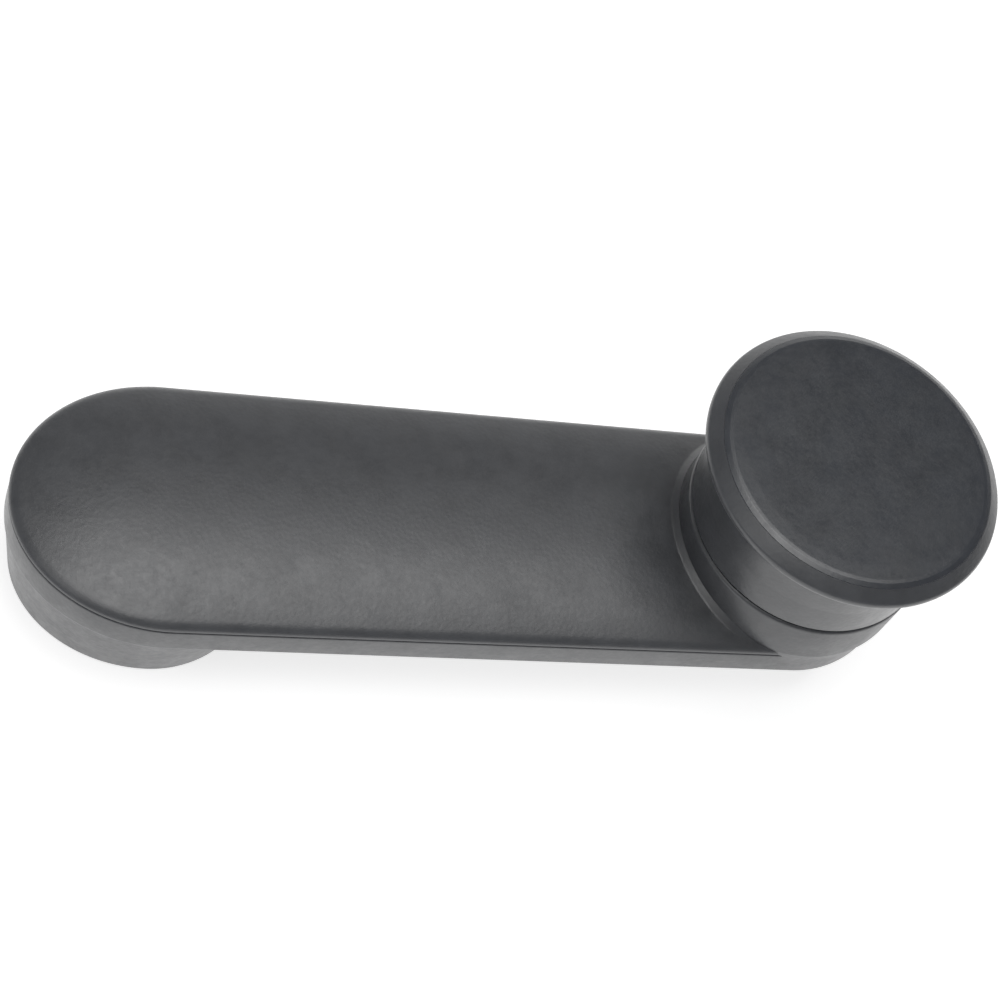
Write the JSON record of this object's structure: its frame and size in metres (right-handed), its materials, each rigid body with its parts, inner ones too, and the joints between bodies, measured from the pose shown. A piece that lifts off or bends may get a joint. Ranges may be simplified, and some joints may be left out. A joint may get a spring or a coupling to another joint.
{
  "type": "window winder handle",
  "caption": "Crank handle for a window regulator: splined hub, crowned arm with a clip-on cover, and a freely turning mushroom knob on a raised collar.",
  "frame": {"origin": "centre of the splined socket, on the hub's back face", "axes": "+Z along the hub's axis towards the hand, +X along the arm towards the knob"},
  "size_m": [0.1296, 0.0422, 0.0422],
  "materials": {
    "shell_plastic": "fine grained charcoal moulding, soft sheen",
    "cover_plastic": "fine grained charcoal moulding, soft sheen",
    "knob_plastic": "fine grained charcoal moulding, soft sheen",
    "cap_plastic": "fine grained, a shade darker and cooler",
    "zinc_steel": "zinc plated steel",
    "dark_steel": "phosphated, turned steel",
    "spring_steel": "blued spring steel",
    "nylon": "natural nylon, waxy"
  },
  "bodies": {
    "arm": {"lower_shell": "shell_plastic", "arm_core": "zinc_steel", "spline_bush": "dark_steel", "hub_washer": "zinc_steel", "hub_spring_washer": "spring_steel", "hub_screw": "zinc_steel", "threaded_boss": "dark_steel", "strap_screw_hub": "dark_steel", "strap_screw_knob": "dark_steel", "wave_washer": "spring_steel", "shoulder_screw": "zinc_steel", "head_washer": "zinc_steel"},
    "cover": {"top_cover": "cover_plastic"},
    "knob": {"knob_shell": "knob_plastic", "knob_bush": "nylon", "knob_cap": "cap_plastic"}
  },
  "joints": [
    {"name": "knob_spin", "type": "hinge", "parent": "arm", "child": "knob", "pos_m": [0.088, 0, 0.03], "axis": [0, 0, 1], "continuous": true},
    {"name": "cover_lift", "type": "slide", "parent": "arm", "child": "cover", "axis": [0, 0, 1], "range_m": [0, 0.014]}
  ]
}
